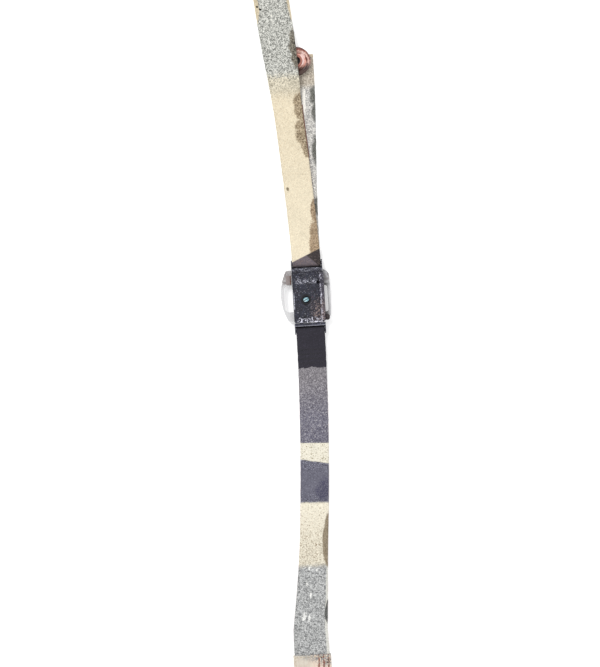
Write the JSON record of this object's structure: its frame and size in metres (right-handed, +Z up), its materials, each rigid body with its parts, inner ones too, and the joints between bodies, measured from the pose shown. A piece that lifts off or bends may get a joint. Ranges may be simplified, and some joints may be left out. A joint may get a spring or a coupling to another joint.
{
  "type": "webbing strap with side-release buckle",
  "caption": "Long camouflage webbing strap with a black steel side-release buckle, a loose adjusted tail, a pull ring and leather end loops.",
  "frame": {"origin": "centre of the buckle housing's bottom face, on the plane the strap lies on", "axes": "+Z up from the strap's face, +Y along the buckle towards the adjustable upper run, +X to the right seen from above"},
  "size_m": [0.0568, 0.6718, 0.0116],
  "materials": {
    "black_steel": "worn black paint",
    "screw_steel": "satin",
    "bow_steel": "satin",
    "copper_spring": "dull copper brown",
    "grip_rubber": "matt",
    "camo_webbing": "printed woven webbing",
    "leather": "red-brown, worn",
    "ring_brown": "glossy red-brown",
    "post_dark": "dark",
    "rivet_brass": "aged",
    "thread": "twisted thread"
  },
  "bodies": {
    "housing": {"housing_shell": "black_steel", "cover_plate": "black_steel", "cup_washer": "black_steel", "cover_screw": "screw_steel", "lock_barrel": "black_steel", "top_bar": "black_steel"},
    "left_bow_body": {"left_bow": "bow_steel", "left_spring_leaf": "copper_spring", "left_grip": "grip_rubber"},
    "right_bow_body": {"right_bow": "bow_steel"},
    "lock": {"lock_rod": "screw_steel", "lock_knob": "grip_rubber"},
    "tongue": {"tongue_plate": "black_steel", "bottom_bar": "black_steel"},
    "upper_run": {"upper_webbing": "camo_webbing", "upper_lining": "leather", "tail_binding": "leather", "ring_post": "post_dark", "upper_end_tab": "leather", "upper_end_rivets": "rivet_brass"},
    "ring": {"pull_ring": "ring_brown"},
    "lower_run": {"lower_webbing": "camo_webbing", "lower_lining": "leather", "lower_bartack": "thread", "lower_end_tab": "leather", "lower_end_rivets": "rivet_brass"}
  },
  "joints": [
    {"name": "tongue_slide", "type": "slide", "parent": "housing", "child": "tongue", "axis": [0, -1, 0], "range_m": [0, 0.04]},
    {"name": "upper_fold", "type": "hinge", "parent": "housing", "child": "upper_run", "pos_m": [0, 0.0294, 0.0045], "axis": [1, 0, 0], "range_deg": [0, 90]},
    {"name": "lower_fold", "type": "hinge", "parent": "tongue", "child": "lower_run", "pos_m": [0, -0.0294, 0.0045], "axis": [-1, 0, 0], "range_deg": [0, 90]},
    {"name": "left_squeeze", "type": "slide", "parent": "housing", "child": "left_bow_body", "axis": [1, 0, 0], "range_m": [0, 0.0018], "stiffness_N_per_m": 400},
    {"name": "right_squeeze", "type": "slide", "parent": "housing", "child": "right_bow_body", "axis": [-1, 0, 0], "range_m": [0, 0.0018], "stiffness_N_per_m": 400},
    {"name": "lock_slide", "type": "slide", "parent": "housing", "child": "lock", "axis": [0, -1, 0], "range_m": [-0.004, 0]},
    {"name": "ring_swivel", "type": "hinge", "parent": "upper_run", "child": "ring", "pos_m": [0.0018, 0.207, 0.0045], "axis": [0, 0, 1], "continuous": true}
  ]
}
